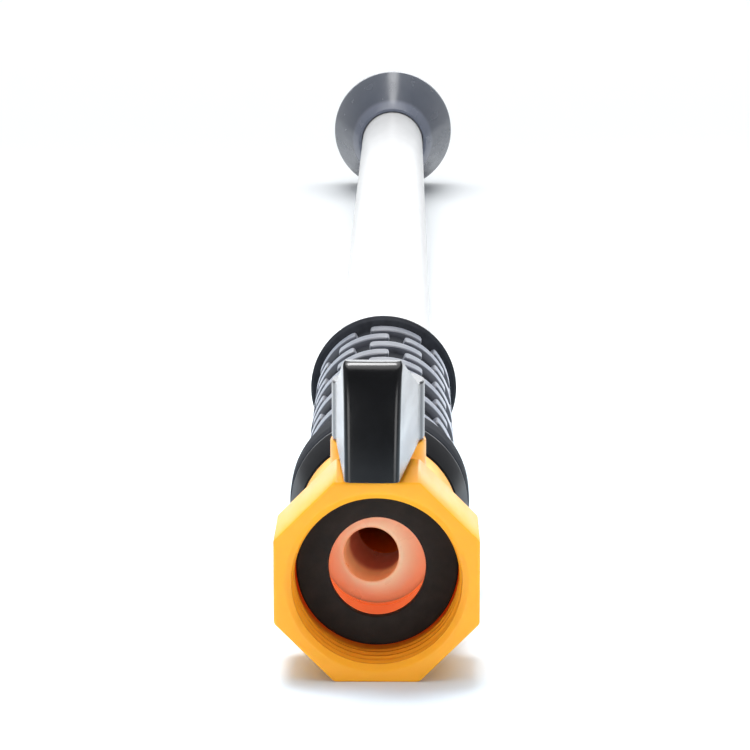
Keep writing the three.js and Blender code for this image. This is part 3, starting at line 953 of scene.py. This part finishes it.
# ---- head ----
def head_shell():
    """The flared head: a neck over the tube, a cone, a rim, and a spigot for the cap."""
    neck_start, front = span("head_shell")
    rim = reach("head_shell")
    rim_start = span("rose_cap")[0] - 4.6 * MM
    tube_bore, groove_floor = 8.8 * MM, 11.8 * MM
    shell_bore, spigot = 16.6 * MM, 17.65 * MM
    shoulder = span("rose_cap")[0] - CLEARANCE
    ledge = span("diffuser_plate")[0] - CLEARANCE
    socket_end = span("extension_tube")[1] + CLEARANCE
    corners = [
        (TUBE_HOLE, neck_start, 0.12 * MM),
        (11.2 * MM, neck_start, 0.5 * MM),
        (12.85 * MM, neck_start + 5 * MM, 1.0 * MM),
        (13.3 * MM, neck_start + 6.5 * MM, 1.0 * MM),
        (rim - 0.25 * MM, rim_start - 0.6 * MM, 1.0 * MM),
        (rim, rim_start + 0.5 * MM, 0.5 * MM),
        (rim, shoulder, 0.3 * MM),
        (spigot, shoulder, 0.2 * MM),
        (spigot, front, 0.2 * MM),
        (shell_bore, front, 0.2 * MM),
        (shell_bore, ledge, 0.1 * MM),
        (shell_bore - 1.8 * MM, ledge, 0.3 * MM),
        (tube_bore, socket_end + 3 * MM, 2 * MM),
        (tube_bore, socket_end, 0.2 * MM),
        (TUBE_HOLE, socket_end, 0.1 * MM),
    ]
    for seal in ("head_o_ring_2", "head_o_ring_1"):
        corners += reversed(seal_groove(seal, TUBE_HOLE, groove_floor))
    return turned("head_shell_skin", corners, sides=192)


def rose_cap():
    """The tapering ring that clamps the rose, with shallow finger grooves round its outside."""
    rear, front = span("rose_cap")
    rear_radius = reach("rose_cap")
    front_radius = rear_radius - 0.5 * MM
    inner, lip = 17.95 * MM, 16.6 * MM
    lip_rear = front - 1.8 * MM
    outside = inner + 0.6 * MM
    flutes, depth, fade, spacing = 24, 0.4 * MM, 0.8 * MM, 0.7 * MM
    cross = [0.0, 0.0, 0.35, 0.85, 1.0, 0.85, 0.35, 0.0]
    sides = len(cross) * flutes
    outline = filleted([
        (inner, rear, 0.15 * MM),
        (rear_radius, rear, 0.3 * MM),
        (front_radius, front, 1.3 * MM),
        (lip, front, 0.5 * MM),
        (lip, lip_rear, 0.1 * MM),
        (inner, lip_rear, 0.1 * MM),
    ])
    groove_from, groove_to = rear + 1.6 * MM, front - 1.8 * MM
    dense = []
    for here, following in zip(outline, outline[1:] + outline[:1]):
        pieces = max(1, round((following - here).length / spacing))
        dense += [here.lerp(following, i / pieces) for i in range(pieces)]
    rings = []
    for point in dense:
        strength = clamp(min(point.y - groove_from, groove_to - point.y) / fade) if point.x > outside else 0.0
        ring = []
        for i in range(sides):
            radius = point.x - depth * strength * cross[i % len(cross)]
            ring.append(from_axis(radius, 2 * math.pi * i / sides, point.y))
        rings.append(ring)
    bm = bmesh.new()
    stack_rings(bm, rings)
    return mesh_object("rose_cap_skin", bm)


def rose_face():
    """A slightly domed plate with rings of spray holes, each in a small raised nozzle."""
    rear, front = span("rose_face")
    edge = reach("rose_face")
    flange_front = rear + 1.6 * MM
    step, recess, shank = 16.3 * MM, 3.5 * MM, 1.8 * MM
    face = turned("rose_face_skin", [
        (shank, rear, 0),
        (edge, rear, 0.2 * MM),
        (edge, flange_front, 0.2 * MM),
        (step, flange_front, 0.1 * MM),
        (step, front - 0.8 * MM, 0.3 * MM),
        (recess + 0.2 * MM, front - 0.15 * MM, 0.2 * MM),
        (recess, flange_front, 0),
        (shank, flange_front, 0),
    ])
    nozzles, drills = bmesh.new(), bmesh.new()
    hole_rings, ring_spacing, first_ring = [6, 12, 18], 4.2 * MM, 5.6 * MM
    hole, nozzle, drill, drill_sides = 0.6 * MM, 1.15 * MM, 0.85 * MM, 24
    base, top = flange_front - 0.4 * MM, front - 0.02 * MM
    overshoot = 1 * MM
    for number, count in enumerate(hole_rings):
        circle = first_ring + number * ring_spacing
        for i in range(count):
            angle = 2 * math.pi * (i + 0.5) / count
            centre = Vector((circle * math.cos(angle), 0, AXIS_Z + circle * math.sin(angle)))

            def upright(radius, along):
                turns = [2 * math.pi * k / drill_sides for k in range(drill_sides)]
                return [centre + Vector((radius * math.cos(t), along, radius * math.sin(t))) for t in turns]

            stack_rings(nozzles, [
                upright(nozzle, base),
                upright(nozzle, top - 0.25 * MM),
                upright(nozzle - 0.12 * MM, top),
                upright(hole + 0.1 * MM, top),
                upright(hole, top - 0.1 * MM),
                upright(hole, base),
            ])
            capped_stack(drills, [upright(drill, rear - overshoot), upright(drill, front + overshoot)])
    cut_away(face, mesh_object("rose_drills", drills))
    return join("rose_face_skin", [face, mesh_object("rose_nozzles", nozzles)])


def rose_screw():
    """A pan head screw with a cross recess."""
    rear, front = span("rose_screw")
    head = reach("rose_screw") / math.cos(math.pi / CAD_SMALL_SIDES)
    head_rear = span("rose_face")[0] + 1.9 * MM
    shank = 1.5 * MM
    screw = turned("rose_screw_skin", [
        (0, rear, 0),
        (shank, rear, 0.3 * MM),
        (shank, head_rear, 0),
        (head, head_rear, 0.15 * MM),
        (head, front - 0.6 * MM, 0.5 * MM),
        (0.5 * head, front, 1.0 * MM),
        (0, front, 0),
    ], sides=64)
    long, short, deep = 0.62 * head, 0.3 * MM, 0.8 * MM

    def place(u, v, depth):
        return Vector((u, front - deep + depth, AXIS_Z + v))

    for half_u, half_v in ((long, short), (short, long)):
        cut_away(screw, prism("recess", rectangle(half_u, half_v), place, 2 * deep))
    shade(screw)
    return screw


# ---- pieces on their bodies ----
placed(coupling_nut(), "nut", "yellow_plastic", yellow, "coupling_nut")
placed(hose_washer(), "nut", "seal_rubber", seal_rubber, "hose_washer")
placed(inlet_tailpiece(), "wand", "orange_plastic", orange, "inlet_tailpiece")
for seat, faces_rear in (("ball_seat_front", True), ("ball_seat_rear", False)):
    placed(ball_seat(seat, faces_rear), "wand", "orange_plastic", orange, seat)
placed(valve_ball(), "valve_rotor", "ball_acetal", acetal, "valve_ball")
placed(valve_body(), "wand", "yellow_plastic", yellow, "valve_body")
placed(valve_lever(), "valve_rotor", "lever_gloss_black", gloss_black, "valve_lever")
placed(grip_collar(), "wand", "collar_black", satin_black, "grip_collar")
sleeve, tread = grip_sleeve()
placed(sleeve, "wand", "grip_rubber", matt_rubber, "grip_sleeve")
placed(tread, "wand", "grip_rubber", grip_rubber)
placed(extension_tube(), "wand", "white_tube", white_gloss, "extension_tube")
placed(head_shell(), "wand", "head_grey", head_grey, "head_shell")
placed(rose_cap(), "wand", "collar_black", satin_black, "rose_cap")
placed(rose_face(), "wand", "head_grey", head_grey, "rose_face")
placed(rose_screw(), "wand", "screw_steel", steel, "rose_screw")

carried_over = {
    "valve_stem": pale,
    "diffuser_plate": pale,
    "stem_o_ring_lower": seal_rubber,
    "stem_o_ring_upper": seal_rubber,
    "spigot_o_ring_1": seal_rubber,
    "spigot_o_ring_2": seal_rubber,
    "head_o_ring_1": seal_rubber,
    "head_o_ring_2": seal_rubber,
    "rose_gasket": seal_rubber,
}
for node, material in carried_over.items():
    frame["nodes"][node].data.materials.clear()
    frame["nodes"][node].data.materials.append(material)


# ---- floor, lights and camera ----
def floor():
    """A pale floor, tilted so that the nut and the head's rim both lie on it, with a painted cool tint near
    the nut that cancels the warm bounce light in its shadow.
    """
    nut_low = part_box("coupling_nut")[0]
    head_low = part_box("head_shell")[0]
    nut_middle = sum(span("coupling_nut")) / 2
    rim_middle = span("rose_cap")[0]
    slope = (head_low.z - nut_low.z) / (rim_middle - nut_middle)
    gap = 0.02 * MM
    half = 12.0  # metres, so that no view sees past its edge
    bm = bmesh.new()
    bm.faces.new([bm.verts.new((x, y, nut_low.z - gap + slope * (y - nut_middle)))
                  for x, y in rectangle(half, half)])
    plane = mesh_object("floor", bm)
    material, nodes, links, shader = blank_material("floor_white")
    along = position_nodes(nodes, links)["Y"]
    beside_grip, past_grip = 0.8 * NUT_FRONT, 0
    share = share_node(nodes, links, along, beside_grip, past_grip)
    cloud = noise_node(nodes, links, scale=6, detail=2)
    # Painted cool tint near the nut, cancelling the warm bounce light in the nut's shadow.
    painted_cool_tint = ramp_node(nodes, links, cloud, low=(0.735, 0.855, 0.965), high=(0.745, 0.865, 0.975))
    links.new(blend_node(nodes, links, share, painted_cool_tint, (0.88, 0.91, 0.93)), shader.inputs["Base Color"])
    shader.inputs["Roughness"].default_value = 0.8
    shader.inputs["Specular IOR Level"].default_value = 0.1
    plane.data.materials.append(material)


def world_light():
    """A studio that is bright behind the wand, dim at its sides, and nearly dark elsewhere."""
    behind_from, behind_full = 0.84, 0.98
    beside_from, beside_full = 0.1, 0.8
    dark, bright, dim = 0.12, 2.6, 0.25
    world = bpy.data.worlds.new("studio")
    bpy.context.scene.world = world
    world.use_nodes = True
    nodes, links = world.node_tree.nodes, world.node_tree.links
    background = nodes["Background"]
    coordinates = nodes.new("ShaderNodeTexCoord")
    parts = nodes.new("ShaderNodeSeparateXYZ")
    links.new(coordinates.outputs["Generated"], parts.inputs["Vector"])
    behind = share_node(nodes, links, parts.outputs["Y"], behind_from, behind_full, dark, bright)
    sideways = math_node(nodes, links, "MULTIPLY", parts.outputs["X"], parts.outputs["X"])
    beside = share_node(nodes, links, sideways, beside_from, beside_full, 0.0, dim)
    links.new(math_node(nodes, links, "ADD", behind, beside), background.inputs["Strength"])
    background.inputs["Color"].default_value = (0.94, 0.965, 1, 1)


def sun(name, elevation, azimuth, spread, strength):
    """Even light from a wide patch of the sky. Azimuth 0 is behind the wand's head. Angles in degrees."""
    light = bpy.data.lights.new(name, "SUN")
    light.energy = strength
    light.angle = math.radians(spread)
    lamp = bpy.data.objects.new(name, light)
    up, turn = math.radians(elevation), math.radians(azimuth)
    towards = Vector((math.cos(up) * math.sin(turn), math.cos(up) * math.cos(turn), math.sin(up)))
    lamp.rotation_euler = (-towards).to_track_quat("-Z", "Y").to_euler()
    bpy.context.scene.collection.objects.link(lamp)


def softbox(name, place, target, width, height, power, spread=180):
    """A rectangle of light, hidden from the camera, that faces its target. Metres, watts and degrees."""
    light = bpy.data.lights.new(name, "AREA")
    light.shape = "RECTANGLE"
    light.size, light.size_y = width, height
    light.energy = power
    light.spread = math.radians(spread)
    lamp = bpy.data.objects.new(name, light)
    lamp.location = place
    lamp.rotation_euler = (target - place).to_track_quat("-Z", "Y").to_euler()
    lamp.visible_camera = False
    bpy.context.scene.collection.objects.link(lamp)


def camera():
    """A long lens close above the hose end, looking along the wand."""
    nut_centre = Vector((0, NUT_FRONT, AXIS_Z))
    right, back, up = 4.28 * MM, 448.0 * MM, 124.05 * MM
    look_down, look_left = math.radians(11.51), math.radians(0.58)
    data = bpy.data.cameras.new("camera")
    data.sensor_width = 36
    data.lens = 144
    data.clip_start = 0.01
    data.clip_end = 50
    eye = bpy.data.objects.new("camera", data)
    eye.location = nut_centre + Vector((right, -back, up))
    eye.rotation_euler = (math.pi / 2 - look_down, 0, look_left)
    bpy.context.scene.collection.objects.link(eye)
    bpy.context.scene.camera = eye


floor()
world_light()
nut_face = Vector((0, NUT_FRONT, AXIS_Z))
head_middle = (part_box("head_shell")[0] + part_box("head_shell")[1]) / 2
sun("key", elevation=77, azimuth=0, spread=74, strength=2.75)
for side, name in ((-1, "fill_left"), (1, "fill_right")):
    softbox(name, nut_face + Vector((side * 0.5, -0.75, 0.04)), nut_face, width=0.5, height=0.5, power=3.3)
softbox("top_box", STEM + Vector((-0.05, 0.11, 0.52)), STEM, width=0.26, height=0.2, power=1.35, spread=120)
softbox("strip_behind", head_middle + Vector((0, 1.23, 0.86)), head_middle, width=0.17, height=0.5, power=1.0)
camera()

scene = bpy.context.scene
scene.view_settings.view_transform = "Standard"
scene.view_settings.look = "None"
scene.view_settings.exposure = 0
